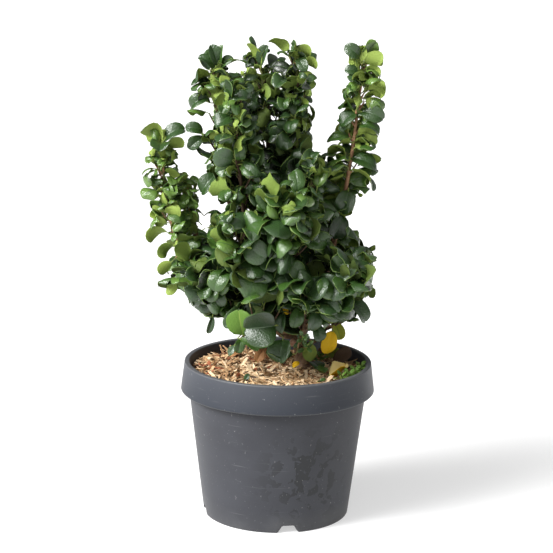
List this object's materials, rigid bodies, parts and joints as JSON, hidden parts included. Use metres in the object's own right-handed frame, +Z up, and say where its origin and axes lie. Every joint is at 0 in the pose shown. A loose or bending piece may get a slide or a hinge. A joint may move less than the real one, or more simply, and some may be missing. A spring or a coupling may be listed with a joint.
{
  "type": "potted japanese privet",
  "caption": "Young evergreen privet with round, leathery leaves on upright leafy shoots, growing from a short forked trunk in a round nursery pot topped with wood chips.",
  "frame": {"origin": "on the pot's axis, in the plane that the pot stands on", "axes": "+Z is up, the plant's front faces -Y, and +X is to the right of someone who looks at the front"},
  "size_m": [0.3352, 0.2926, 0.6493],
  "materials": {
    "pot_plastic": "satin blue-grey plastic",
    "soil": "moist potting mix",
    "wood_chips": "dry, pale straw to brown",
    "bark": "matte, slightly rough bark",
    "leaves": "glossy, leathery green"
  },
  "bodies": {
    "root": {"pot": "pot_plastic", "soil": "soil", "mulch": "wood_chips", "trunk": "bark", "leader_bough": "bark", "left_bough": "bark", "right_bough": "bark", "front_low_bough": "bark", "front_right_bough": "bark", "base_right_bough": "bark", "back_low_bough": "bark", "back_base_bough": "bark", "left_base_bough": "bark", "left_low_bough": "bark", "back_side_bough": "bark", "left_middle_bough": "bark", "left_inner_bough": "bark", "front_left_bough": "bark", "front_centre_bough": "bark", "back_centre_bough": "bark", "centre_left_bough": "bark", "centre_right_bough": "bark", "back_left_bough": "bark", "centre_front_bough": "bark", "shoulder_bough": "bark", "right_low_bough": "bark", "right_back_bough": "bark", "back_right_bough": "bark", "left_outer_leaves": "leaves", "right_tall_leaves": "leaves", "centre_leaves": "leaves", "centre_left_leaves": "leaves", "centre_right_leaves": "leaves", "centre_front_leaves": "leaves", "shoulder_leaves": "leaves", "left_inner_leaves": "leaves", "left_middle_leaves": "leaves", "left_low_leaves": "leaves", "left_base_leaves": "leaves", "right_low_leaves": "leaves", "right_back_leaves": "leaves", "front_centre_leaves": "leaves", "front_left_leaves": "leaves", "front_low_leaves": "leaves", "front_right_leaves": "leaves", "base_right_leaves": "leaves", "back_left_leaves": "leaves", "back_centre_leaves": "leaves", "back_right_leaves": "leaves", "back_side_leaves": "leaves", "back_low_leaves": "leaves", "back_base_leaves": "leaves"}
  },
  "joints": []
}
